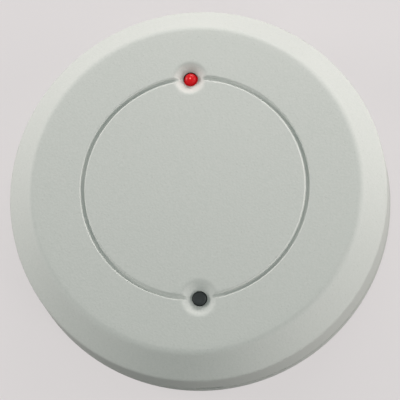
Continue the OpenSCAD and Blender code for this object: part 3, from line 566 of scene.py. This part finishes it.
# what the cover carries on its inside: catch, hinge bar, four shoulder ribs and the tamper post
def makeCoverInside(c, material):
    wallR = c["radius"] - c["wall"] + 0.3
    half = c["catchW"] / 2 / wallR
    a = np.linspace(-math.pi / 2 - half, -math.pi / 2 + half, 15)[:, None]
    low, top = c["catchZ"]
    shape = filleted([(wallR, low), (c["catchR"], low), (c["catchR"], top), (wallR, top)], [0.2, 0.2], 4)
    r, z = shape[:, 0], shape[:, 1]
    points, faces = swept(np.stack([r * np.cos(a), r * np.sin(a), z + 0 * a], -1))
    makePiece("coverCatch", points, faces, material, "cover")

    t = np.linspace(0, 2 * math.pi, 40, endpoint=False)
    y = np.clip(c["hinge"][0] + c["barR"] * np.cos(t), None, c["pocketR"] + 0.1)
    z = np.clip(c["hinge"][1] + c["barR"] * np.sin(t), c["rim"] + 0.05, None)
    x = np.linspace(-1, 1, 9)[:, None] * (c["pocketW"] / 2 + 0.3)
    points, faces = swept(np.stack([x + 0 * t, y + 0 * x, z + 0 * x], -1))
    makePiece("hingeBar", points, faces, material, "cover")

    foot, top = shoulderInside(c, c["radius"] - c["wall"]), shoulderInside(c, c["faceR"] - 0.9)
    sink, drop = c["ribSink"], c["ribDrop"]
    shape = filleted([
        (foot[0] + sink, foot[1] + sink), (foot[0] + sink, foot[1] - drop), (foot[0] - 1, foot[1] - drop),
        (top[0] - drop, top[1] - 1), (top[0] - drop, top[1] + 0.4), (top[0], top[1] + 0.4)],
        [0.2, 0.4, 0.4, 0.2], 4)
    for i, angle in enumerate(c["ribs"]):
        turn = math.radians(angle)
        side = np.array([-1, -0.85, 0.85, 1])[:, None] * c["ribT"] / 2
        draw = np.array([c["ribEase"], 1, 1, c["ribEase"]])[:, None]    # the rib's long edges are eased
        middle = shape.mean(0)
        r, z = middle[0] + (shape[:, 0] - middle[0]) * draw, middle[1] + (shape[:, 1] - middle[1]) * draw
        points, faces = swept(np.stack([r * math.cos(turn) - side * math.sin(turn),
                                        r * math.sin(turn) + side * math.cos(turn), z], -1))
        makePiece(f"shoulderRib{i}", points, faces, material, "cover")

    roof = float(domeHeight(c, math.hypot(*c["post"]))) - c["wall"] + 0.4
    post = filleted([
        (0, c["postZ"]), (c["postR"], c["postZ"]), (c["postR"] + 0.1, roof - 0.9),
        (c["postR"] + 1, roof - 0.35), (c["postR"] + 1, roof), (0, roof)],
        [0.25, 0.8, 0, 0], 5)
    points, faces, extra = turned(post[1:-1], [(*c["post"], 0)], 48)
    makePiece("tamperPost", points, faces, material, "cover", extra=extra)


# the case's moulded plastic: fine eroded grain, slow clouds of tone and a few darker flecks
def casePlastic(name, k):
    m = Mat(name, SpecularIORLevel=0.35)
    grain = m.noise(2100, 2, 0.6)
    cloud = m.noise(38, 2, 0.5)
    fleck = m.span(m.cells(900), 0.0, 0.22)
    tone = m.blend(cloud, tint((0.489, 0.520, 0.486), k), tint((0.513, 0.543, 0.508), k))
    tone = m.blend(m.span(grain, 0.35, 0.7), tone, tint((0.530, 0.556, 0.524), k))
    m.set(BaseColor=m.blend(fleck, tint((0.455, 0.480, 0.450), k), tone))
    m.set(Roughness=m.span(grain, 0.3, 0.75, 0.54, 0.68))
    m.set(Normal=m.bump(grain * 0.7 + m.cells(1500) * 0.3, 0.00007, 0.55))
    return m


cover["material"] = casePlastic("coverPlastic", 1.0)
makeCover(cover, cover["material"])
makeCoverInside(cover, cover["material"])
print("cover made")


# moulded plastic: slow clouds of tone, fine grain, and a few paler specks
def moulded(name, color, rough=0.5, grain=1500, relief=0.00002, flow=70):
    m = Mat(name, SpecularIORLevel=0.4)
    speck = m.noise(grain, 2, 0.6)
    tone = m.blend(m.noise(flow, 3), tint(color, 0.86), tint(color, 1.1))
    m.set(BaseColor=m.blend(m.span(speck, 0.58, 0.8), tone, tint(color, 1.3)))
    m.set(Roughness=m.span(speck, 0.3, 0.7, rough - 0.08, rough + 0.08))
    return m.set(Normal=m.bump(speck + 0.4 * m.cells(grain * 0.6), relief, 0.5))


# plated or drawn metal: long fine lines, dull stains, small dents
def drawnMetal(name, color, rough=0.3, stretch=(1, 1, 7)):
    m = Mat(name, Metallic=1.0)
    lines = m.noise(1100, 3, 0.6, m.place(stretch))
    stain = m.span(m.noise(230, 4), 0.42, 0.72)
    m.set(BaseColor=m.blend(stain, color, tint(color, 0.72)))
    m.set(Roughness=m.span(lines, 0.3, 0.7, rough - 0.1, rough + 0.12) + 0.12 * stain)
    return m.set(Normal=m.bump(lines + 0.5 * m.cells(700), 0.00001, 0.4))


# a dipped or lacquered coat: glossy, with orange peel and thinner, paler patches
def dippedCoat(name, color, rough=0.28, peel=520):
    m = Mat(name, CoatWeight=0.35, CoatRoughness=0.12)
    skin = m.noise(peel, 2, 0.45)
    m.set(BaseColor=m.blend(m.span(skin, 0.3, 0.75), tint(color, 0.75), tint(color, 1.25)))
    m.set(Roughness=m.span(m.noise(90, 3), 0.3, 0.7, rough - 0.06, rough + 0.1))
    return m.set(Normal=m.bump(skin, 0.00005, 0.5))


# solder mask over glass weave and copper areas, with the bare laminate showing at the cut edge
def boardLaminate():
    m = Mat("boardMask", CoatWeight=0.3, CoatRoughness=0.2)
    x, y, z = m.axes()
    weave = m.run("SINE", x * 7200) * m.run("SINE", y * 7200)
    blocks = m.node("ShaderNodeTexVoronoi", {"feature": "F1", "distance": "CHEBYCHEV"}, Vector=m.place(),
                    Scale=120, Randomness=0.8, out="Color")
    copper = m.span(blocks, 0.46, 0.48)
    green = m.blend(copper, (0.009, 0.088, 0.038), (0.014, 0.122, 0.052))
    green = m.blend(m.span(weave, -0.4, 1.0) * 0.25, green, (0.020, 0.190, 0.090))
    low, high = (corner[2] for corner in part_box("circuit_board"))
    skin = 0.04 * mm        # how thick the mask is
    edge = (z > low + skin) * (z < high - skin)
    m.set(BaseColor=m.blend(edge, green, m.blend(m.span(m.run("SINE", z * 24000), -0.6, 0.6),
                                                  (0.30, 0.27, 0.13), (0.42, 0.39, 0.22))))
    m.set(Roughness=m.span(m.noise(150, 3), 0.3, 0.7, 0.3, 0.42) + 0.3 * edge)
    return m.set(Normal=m.bump(copper + 0.1 * weave, 0.00002, 0.6))


# lacquer with coloured rings: each ring's hue follows from the part's number
def ringedLacquer(name, body, rings, width):
    m = Mat(name, CoatWeight=0.4, CoatRoughness=0.15)
    along, which = m.read("along"), m.read("which")
    color = m.blend(m.noise(300, 3), tint(body, 0.85), tint(body, 1.12))
    for i, (place, fixed) in enumerate(rings):
        hue = m.run("FRACT", which * 0.37 + 0.29 * i)
        shade = fixed or m.node("ShaderNodeCombineColor", {"mode": "HSV"}, hue, 0.85, 0.35)
        wobble = (m.noise(500, 2) - 0.5) * 0.16
        ring = 1 - m.span(abs(along - place + wobble), width / 2 - 0.04, width / 2 + 0.04)
        color = m.blend(ring, color, shade)
    m.set(BaseColor=color)
    return m.set(Normal=m.bump(m.noise(700, 2), 0.00003, 0.4))


# the lit lamp: red all through, with a pale heart at the tip of its dome
def lampLens(c):
    m = Mat("lampLens", Roughness=0.34, BaseColor=(0.23, 0.004, 0.006), EmissionStrength=1.0,
            SpecularIORLevel=0.16)
    x, y, z = m.axes()
    away = ((x - c["at"][0] * mm) ** 2 + (y - c["at"][1] * mm) ** 2) ** 0.5 / (c["lensR"] * mm)
    streak = m.noise(1900, 2) * 0.06
    glow = m.blend(m.span(away + streak, 0.55, 1.05), (0.36, 0.004, 0.006), (0.30, 0.002, 0.004))
    heart = (1 - m.span(away + streak, 0.05, 0.2)) * (z > c["heart"] * mm)
    m.set(EmissionColor=m.blend(heart, glow, (0.80, 0.42, 0.36)))
    return m.set(Normal=m.bump(m.noise(900, 2), 0.00001, 0.3))


# a blank film label with a printed border
def labelFilm(c):
    m = Mat("labelFilm", CoatWeight=0.15, CoatRoughness=0.3)
    x, y, z = m.axes()
    inX = c["half"][0] * mm - abs(x - c["at"][0] * mm)
    inY = c["half"][1] * mm - abs(y - c["at"][1] * mm)
    inside = m.run("MINIMUM", inX, inY)
    line = (inside > 0.0006) * (inside < 0.0009)
    fibre = m.noise(900, 4, 0.7, m.place((1, 3, 1)))
    paper = m.blend(fibre, (0.70, 0.70, 0.66), (0.82, 0.82, 0.79))
    m.set(BaseColor=m.blend(line, paper, (0.16, 0.17, 0.18)))
    m.set(Roughness=m.span(fibre, 0.3, 0.7, 0.45, 0.6))
    return m.set(Normal=m.bump(fibre, 0.00001, 0.4))


lamp = dict(
    placed("status_lamp"), lensR=1.5, flangeTop=14.9, dome=17.8,
    heart=18.5,                     # the height above which its tip is pale
    glow=1.6e-5, glowLift=0.5,      # watts, and how far above the tip they sit
)
label = placed("rear_label")
finishes = {
    "cover_plastic": cover["material"],
    "base_plastic": casePlastic("basePlastic", 0.975),
    "label_film": labelFilm(label),
    "latch_plastic": casePlastic("latchPlastic", 0.92),
    "board_laminate": boardLaminate(),
    "screw_steel": drawnMetal("screwSteel", (0.62, 0.62, 0.60), 0.3, (1, 1, 4)),
    "solder": drawnMetal("solder", (0.64, 0.65, 0.67), 0.26, (1, 1, 1)),
    "terminal_plastic": moulded("terminalPlastic", (0.025, 0.150, 0.065), 0.42, 1100),
    "clamp_brass": drawnMetal("clampBrass", (0.66, 0.52, 0.24), 0.32, (6, 1, 1)),
    "lamp_lens": lampLens(lamp),
    "tinned_lead": drawnMetal("tinnedLead", (0.66, 0.67, 0.69), 0.28),
    "spacer_nylon": moulded("spacerNylon", (0.74, 0.73, 0.68), 0.46, 900, 0.00003, 200),
    "head_epoxy": moulded("headEpoxy", (0.020, 0.026, 0.026), 0.66, 2600, 0.00003),
    "sleeve_pvc": moulded("sleevePvc", (0.022, 0.022, 0.024), 0.6, 800, 0.00004),
    "bead_glass": dippedCoat("beadGlass", (0.03, 0.08, 0.28), 0.2),
    "moulded_epoxy": moulded("mouldedEpoxy", (0.024, 0.024, 0.026), 0.6, 2400, 0.00003),
    "relay_case": moulded("relayCase", (0.74, 0.25, 0.035), 0.34, 1000, 0.00001, 120),
    "can_aluminium": drawnMetal("canAluminium", (0.80, 0.81, 0.83), 0.25, (1, 1, 9)),
    "can_sleeve": dippedCoat("canSleeve", (0.014, 0.022, 0.080), 0.3, 300),
    "varistor_coat": dippedCoat("varistorCoat", (0.02, 0.09, 0.36), 0.3),
    "resistor_coat": ringedLacquer("resistorLacquer", (0.56, 0.42, 0.24), [
        (-2.35, None), (-1.15, None), (-0.25, None), (2.3, (0.55, 0.36, 0.08))], 0.55),
    "diode_body": ringedLacquer("diodeBody", (0.020, 0.020, 0.023), [(1.55, (0.62, 0.62, 0.62))], 0.7),
    "film_case": moulded("filmCase", (0.42, 0.03, 0.02), 0.32, 1200, 0.00001, 150),
    "ceramic_coat": dippedCoat("ceramicCoat", (0.60, 0.32, 0.07), 0.42, 700),
    "switch_case": moulded("switchCase", (0.45, 0.016, 0.016), 0.36, 1300, 0.00001, 150),
    "slider_plastic": moulded("sliderPlastic", (0.80, 0.80, 0.75), 0.4, 1500),
    "header_plastic": moulded("headerPlastic", (0.022, 0.022, 0.024), 0.5, 1500),
    "pin_gold": drawnMetal("pinGold", (0.75, 0.55, 0.18), 0.25),
    "shunt_plastic": moulded("shuntPlastic", (0.022, 0.024, 0.036), 0.42, 1300),
    "tamper_case": moulded("tamperCase", (0.028, 0.028, 0.033), 0.48, 1400),
    "plunger_nylon": moulded("plungerNylon", (0.76, 0.75, 0.70), 0.42, 1100),
    "spring_steel": drawnMetal("springSteel", (0.56, 0.56, 0.57), 0.3, (2, 2, 2)),
}
bodyOf = {n: b for b, nodes in frame["record"]["behaviour"]["bodies"].items() for n in nodes}
slotOf = {part["node"]: part["material_slot"] for part in frame["record"]["subparts"]}
for node, shown in frame["nodes"].items():      # nodes that stay as they are take their slot's finish
    shown.data.materials.clear()
    shown.data.materials.append(finishes[slotOf[node]].material)
print("finishes made:", len(finishes))

# boxy parts keep their CAD shape, with edges rounded by so many mm
edges = {
    "mounting_base": 0.22, "rear_label": 0.03, "release_latch": 0.12, "board_screws": 0.1,
    "terminal_housing": 0.12, "terminal_screws": 0.08, "terminal_clamps": 0.06, "lamp_spacer": 0.15,
    "sensing_sleeve": 0.08, "controller_chip": 0.1, "controller_pins": 0.03, "alarm_relay": 0.3,
    "bridge_rectifier": 0.14, "rectifier_legs": 0.05, "capacitor_cans": 0.1, "capacitor_sleeves": 0.1,
    "transistors": 0.22, "transistor_legs": 0.05, "film_capacitor": 0.25, "switch_housing": 0.12,
    "switch_slider_1": 0.1, "switch_slider_2": 0.1, "jumper_base": 0.12, "jumper_pins": 0.1,
    "jumper_shunt": 0.14, "tamper_switch": 0.12, "circuit_board": 0.05,
}
for node, width in edges.items():
    softened(node, width, finishes[slotOf[node]], bodyOf[node])
print("edges rounded:", len(edges))


# a turned piece that stands for a node and takes its body and the finish of the node's slot
def makeTurned(name, node, outline, places, sides=48, along="Z", crease=35):
    points, faces, extra = turned(outline, places, sides, along)
    slot = slotOf[node]
    return makePiece(name, points, faces, finishes[slot], bodyOf[node], [node], crease, extra)


# the lamp: flange, straight wall and a half-round dome, and the little light it gives
def makeLamp(c):
    a = np.linspace(0, math.pi / 2, 14)[:-1]
    dome = np.stack([c["lensR"] * np.cos(a), c["dome"] + c["lensR"] * np.sin(a)], 1)
    flangeR, foot = c["half"][0], c["foot"]
    skirt = filleted([(flangeR - 0.3, foot), (flangeR, foot), (flangeR, c["flangeTop"]),
                      (c["lensR"], c["flangeTop"] + 0.05), (c["lensR"], c["dome"])], [0.12, 0.15, 0.1], 4)
    tip = [(0.02, c["dome"] + c["lensR"])]
    makeTurned("lampLensBody", "status_lamp", np.concatenate([skirt[:-1], dome, tip]), [(*c["at"], 0)], 56)
    data = bpy.data.lights.new("lampGlow", "POINT")
    data.energy, data.shadow_soft_size, data.color = c["glow"], 0.0004, (1.0, 0.05, 0.04)
    glow = bpy.data.objects.new("lampGlow", data)
    bpy.context.scene.collection.objects.link(glow)
    glow.location = Vector((*c["at"], c["dome"] + c["lensR"] + c["glowLift"])) * mm


makeLamp(lamp)

# the sensing head: a dipped bead, round-shouldered, with a shallow dimple on top
head = dict(placed("sensing_head"), shoulder=0.5, dimple=0.08)


def makeHead(c):
    wide, flat = c["half"][0], c["half"][0] - c["shoulder"]
    shape = filleted([(0.3, c["foot"]), (wide, c["foot"]), (wide, c["top"]), (0, c["top"])],
                     [0.35, c["shoulder"]], 8)[:-1]
    r = np.linspace(flat, 0.03, 7)[1:]
    top = np.stack([r, c["top"] - c["dimple"] * smoothStep(flat - r, 0, 1)], 1)
    makeTurned("sensingBead", "sensing_head", np.concatenate([shape, top]), [(*c["at"], 0)], 56)


makeHead(head)


# axial parts: rounded caps, a slimmer waist between them
def makeAxial(name, node, waist):
    middles, sizes = lumpsOf(node)
    half, r = sizes[0, 0] / 2, sizes[0, 2] / 2
    h = np.linspace(-1, 1, 41)
    ends = np.sqrt(np.clip(1 - np.clip((np.abs(h) - 0.86) / 0.14, 0, 1) ** 2 * 0.75, 0, 1))
    neck = 1 - waist * (1 - smoothStep(np.abs(h), 0.42, 0.62))
    outline = np.stack([r * ends * neck, h * half], 1)
    makeTurned(name, node, outline, middles, 32, "X")


makeAxial("resistorBarrels", "resistor_bodies", 0.14)
makeAxial("diodeBarrels", "diode_bodies", 0.0)


# dipped discs: a superellipse across the thickness, r = R * (1 - |2h/t|^n)^(1/n)
def makeDiscs(name, node, power):
    middles, sizes = lumpsOf(node)
    r, t = sizes[0, 0] / 2, sizes[0, 1]
    h = np.sin(np.linspace(-math.pi / 2, math.pi / 2, 25))
    outline = np.stack([np.maximum(r * (1 - np.abs(h) ** power) ** (1 / power), 0.05), h * t / 2], 1)
    makeTurned(name, node, outline, middles, 56, "Y", 60)


makeDiscs("varistorDisc", "surge_varistor", 3.0)
makeDiscs("ceramicDiscs", "ceramic_capacitors", 2.3)


# the reference bead: a drop, fuller above its middle
def makeDrop(name, node):
    middles, sizes = lumpsOf(node)
    u = np.sin(np.linspace(-math.pi / 2, math.pi / 2, 27))
    r = sizes[0, 2] / 2
    outline = np.stack([np.maximum(r * np.sqrt(1 - u ** 2) * (0.9 + 0.09 * u), 0.03), u * r], 1)
    makeTurned(name, node, outline, middles, 40, "Z", 60)


makeDrop("referenceDrop", "reference_bead")

plunger = dict(placed("tamper_plunger"), stemR=0.9, capT=0.8)
spring = dict(placed("tamper_spring"), wire=0.4, turns=4, perTurn=40, sides=12)


# a stem and its flat cap, turned round their line of travel
def makePlunger(c):
    capR, under = c["half"][0], c["top"] - c["capT"]
    outline = filleted([(0.3, c["foot"]), (c["stemR"], c["foot"]), (c["stemR"], under), (capR, under),
                        (capR, c["top"]), (0.1, c["top"])], [0.2, 0.15, 0.15, 0.25], 5)
    makeTurned("plungerCap", "tamper_plunger", outline, [(*c["at"], 0)], 48)


# a wire of round section along a helix, from the spring's foot to its top
def makeSpring(c):
    t = np.linspace(0, 1, c["turns"] * c["perTurn"] + 1)[:, None]
    s = np.linspace(0, 2 * math.pi, c["sides"], endpoint=False)
    turn, wireR = 2 * math.pi * c["turns"] * t, c["wire"] / 2
    foot, top = c["foot"] + wireR, c["top"] - wireR
    r = c["half"][0] - wireR + wireR * np.cos(s)
    z = foot + (top - foot) * t + wireR * np.sin(s)
    points, faces = swept(np.stack([c["at"][0] + r * np.cos(turn), c["at"][1] + r * np.sin(turn), z], -1))
    made = makePiece("springWire", points, faces, finishes["spring_steel"], None,
                     ["tamper_spring"], 60)
    low, high = (tuple(v * mm for v in (*c["at"], height)) for height in (foot, top))
    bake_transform(made)


makePlunger(plunger)
makeSpring(spring)
print("round parts made")

# what is printed and plated on the board: pads, traces and the white outlines
board = dict(
    top=placed("circuit_board")["top"], padR=0.95, padT=0.04,
    trace=0.5, traceT=0.025, ink=0.18, inkT=0.03,      # widths and heights
    reach=(4.2, 15.0),                                 # traces join pads that are this far apart
    hole=9.5, notch=(30.15, 8.0), rim=35.5,            # and keep clear of the middle, notches and edge
    outlined=("alarm_relay", "bridge_rectifier", "switch_housing", "tamper_switch",
              "controller_chip", "film_capacitor", "terminal_housing"),
    ringed=("capacitor_sleeves", "transistors"), margin=0.45,
)


# thin closed strips along flat paths, with mitred corners; each lies a hair above the one before
def makeStrips(name, paths, width, low, high, material, closed, hair=0.002):
    points, faces, count = [], [], 0
    for number, path in enumerate(paths):
        path, top = np.asarray(path, float), high + hair * number
        ahead = np.roll(path, -1, 0) - path
        ahead /= np.maximum(np.hypot(*ahead.T), 1e-9)[:, None]
        if not closed:
            ahead[-1] = ahead[-2]
        behind = np.roll(ahead, 1, 0)
        if not closed:
            behind[0] = ahead[0]
        side = np.stack([-(ahead + behind)[:, 1], (ahead + behind)[:, 0]], 1)
        side *= width / np.maximum((side ** 2).sum(1), 1e-9)[:, None]
        left, right = path + side, path - side
        ring = np.stack([np.c_[left, np.full(len(path), top)], np.c_[right, np.full(len(path), top)],
                         np.c_[right, np.full(len(path), low)], np.c_[left, np.full(len(path), low)]], 1)
        index = count + np.arange(len(path) * 4).reshape(-1, 4)
        loop = np.concatenate([index, index[:1]]) if closed else index
        faces.append(quadsOf(np.concatenate([loop, loop[:, :1]], 1)))
        if not closed:
            faces += [index[:1], index[-1:, ::-1]]
        points.append(ring.reshape(-1, 3))
        count += len(path) * 4
    makePiece(name, np.concatenate(points), faces, material, "base")


def makeBoardPrint(c):
    pads = lumpsOf("solder_joints")[0][:, :2]
    top, over = c["top"], c["top"] + c["padT"]
    outline = filleted([(c["padR"], top - 0.02), (c["padR"], over), (0.3, over + 0.06)], [0.03], 3)
    points, faces, extra = turned(outline, np.c_[pads, np.zeros(len(pads))], 28)
    makePiece("padRings", points, faces, finishes["solder"], "base", extra=extra)

    # a trace leaves a pad at 45 degrees and ends straight, between pads that are near, clear of the holes
    gap = pads[None] - pads[:, None]
    far = np.hypot(gap[..., 0], gap[..., 1])
    first, second = np.nonzero((far > c["reach"][0]) & (far < c["reach"][1]))
    order = np.argsort(far[first, second], kind="stable")
    used, paths = np.zeros(len(pads), int), []
    for i, j in zip(first[order], second[order]):
        p, q = pads[i], pads[j]
        diagonal = np.sign(q - p) * np.abs(q - p).min()
        corner = p + diagonal
        near = np.array([p + (corner - p) * 0.5, corner, (corner + q) / 2])
        clear = (np.hypot(*near.T).min() > c["hole"] and np.hypot(*near.T).max() < c["rim"]
                 and np.hypot(np.abs(near[:, 0]) - c["notch"][0], near[:, 1]).min() > c["notch"][1])
        if i < j and clear and max(used[i], used[j]) < 2:
            used[i] += 1
            used[j] += 1
            steps = [p, corner, q]
            keep = [k for k in range(3) if k == 2 or np.hypot(*(steps[k + 1] - steps[k])) > 0.2]
            paths.append([steps[k] for k in keep])
    mask = Mat("traceMask", CoatWeight=0.3, CoatRoughness=0.2)
    mask.set(BaseColor=mask.blend(mask.noise(400, 3), (0.026, 0.215, 0.088), (0.040, 0.265, 0.115)))
    mask.set(Roughness=mask.span(mask.noise(150, 3), 0.3, 0.7, 0.28, 0.4))
    paths = [p for p in paths if len(p) > 1]
    makeStrips("boardTraces", paths, c["trace"], top - 0.01, top + c["traceT"], mask, False)

    ink = Mat("boardInk")
    worn = ink.noise(1300, 3, 0.6)
    ink.set(BaseColor=ink.blend(ink.span(worn, 0.35, 0.6), (0.62, 0.66, 0.60), (0.80, 0.82, 0.78)))
    ink.set(Roughness=ink.span(worn, 0.3, 0.7, 0.5, 0.65))
    frames = []
    for node in c["outlined"]:
        middles, sizes = lumpsOf(node)
        big = int(np.argmax(sizes.prod(1)))
        half = sizes[big, :2] / 2 + c["margin"]
        frames.append(middles[big, :2] + half * np.array([(-1, -1), (1, -1), (1, 1), (-1, 1)]))
    t = np.linspace(0, 2 * math.pi, 40, endpoint=False)
    for node in c["ringed"]:
        middles, sizes = lumpsOf(node)
        frames += [middles[i, :2] + (sizes[i, 0] / 2 + c["margin"]) * np.stack([np.cos(t), np.sin(t)], 1)
                   for i in range(len(middles))]
    makeStrips("boardOutlines", frames, c["ink"], top - 0.01, top + c["inkT"], ink, True)


makeBoardPrint(board)
print("board print made")


ground = dict(
    color=(0.737, 0.708, 0.708), share=0.25,       # how much of its colour is paint
    glow=0.735,                                    # how much of it the camera sees as glow
    glowR=shell["half"][0],                        # within this radius the glow gives light as well
    x=(-2600, 3400), y=3400, drop=0.3,             # off centre: its diagonal passes beside the detector
)


# a plain sheet: its glow whitens what the camera sees of it and lights the back, but not the sides
def makeFloor(c):
    m = Mat("floorPaint", Roughness=0.9, SpecularIORLevel=0.0, EmissionStrength=1.0)
    paint = tint(c["color"], c["share"])
    m.set(BaseColor=m.blend(m.noise(6, 3), paint, tint(paint, 1.02)))
    seen = m.node("ShaderNodeLightPath", {}, out="Is Camera Ray")
    x, y, z = m.axes()
    under = (x ** 2 + y ** 2) < (c["glowR"] * mm) ** 2
    m.set(EmissionColor=m.blend(m.run("MAXIMUM", seen, under), (0, 0, 0), tint(c["color"], c["glow"])))
    # clear from below, so that it doesn't hide the back
    m.set(Alpha=1 - m.node("ShaderNodeNewGeometry", {}, out="Backfacing"))
    low, high = c["x"]
    corners = [(low, -c["y"]), (high, -c["y"]), (high, c["y"]), (low, c["y"])]
    mesh = bpy.data.meshes.new("floor")
    mesh.from_pydata([(x * mm, y * mm, -c["drop"] * mm) for x, y in corners], [], [(0, 1, 2, 3)])
    mesh.materials.append(m.material)
    floor = bpy.data.objects.new("floor", mesh)
    bpy.context.scene.collection.objects.link(floor)


makeFloor(ground)
print("floor made")
